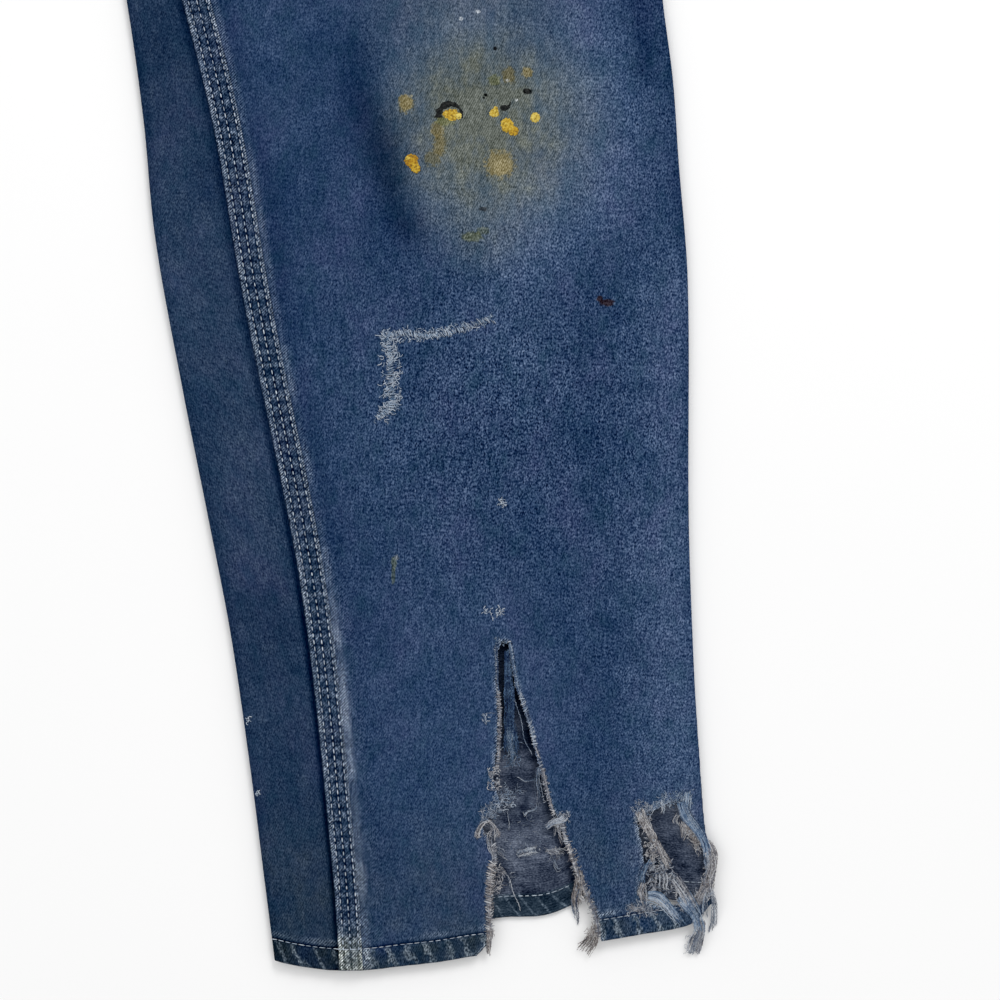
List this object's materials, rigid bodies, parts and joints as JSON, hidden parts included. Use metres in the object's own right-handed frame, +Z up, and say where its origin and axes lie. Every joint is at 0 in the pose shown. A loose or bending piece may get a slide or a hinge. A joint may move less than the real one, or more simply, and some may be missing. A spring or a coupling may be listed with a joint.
{
  "type": "denim bib-and-brace dungarees",
  "caption": "Worn denim bib-and-brace dungarees laid flat, front up, with felled inseams, wire clasps, and tears at one hem.",
  "frame": {"origin": "middle of the whole garment's outline, on the surface that it lies on", "axes": "+Z up out of the surface, +Y from the hems to the straps, +X to the wearer's left"},
  "size_m": [0.755, 1.5648, 0.0111],
  "materials": {
    "denim": "faded indigo twill, matt",
    "worn_denim": "abraded ridges of felled seams and hems",
    "loose_yarn": "frayed cotton yarn, beige weft and blue warp",
    "thread": "blue-white topstitching",
    "paint": "dried yellow, ochre and black paint",
    "dull_metal": "dull aged brass"
  },
  "bodies": {
    "root": {"bib_back": "denim", "bib_button_left": "dull_metal", "bib_button_right": "dull_metal", "bib_front": "denim", "clasp_left": "dull_metal", "clasp_right": "dull_metal", "fell_front_rise": "worn_denim", "fell_inseam_left": "worn_denim", "fell_inseam_right": "worn_denim", "fray_corner_tear": "loose_yarn", "fray_long_tear_inner": "loose_yarn", "fray_long_tear_outer": "loose_yarn", "fray_tassel": "loose_yarn", "leg_back_left": "denim", "leg_back_right": "denim", "leg_front_left": "denim", "leg_front_right": "denim", "placket_left": "denim", "placket_right": "denim", "side_button_high_left": "dull_metal", "side_button_high_right": "dull_metal", "side_button_low_left": "dull_metal", "side_button_low_right": "dull_metal", "slider_left": "dull_metal", "slider_right": "dull_metal", "strap_left": "denim", "strap_right": "denim", "waistband_back": "denim", "waistband_front": "denim"}
  },
  "joints": []
}
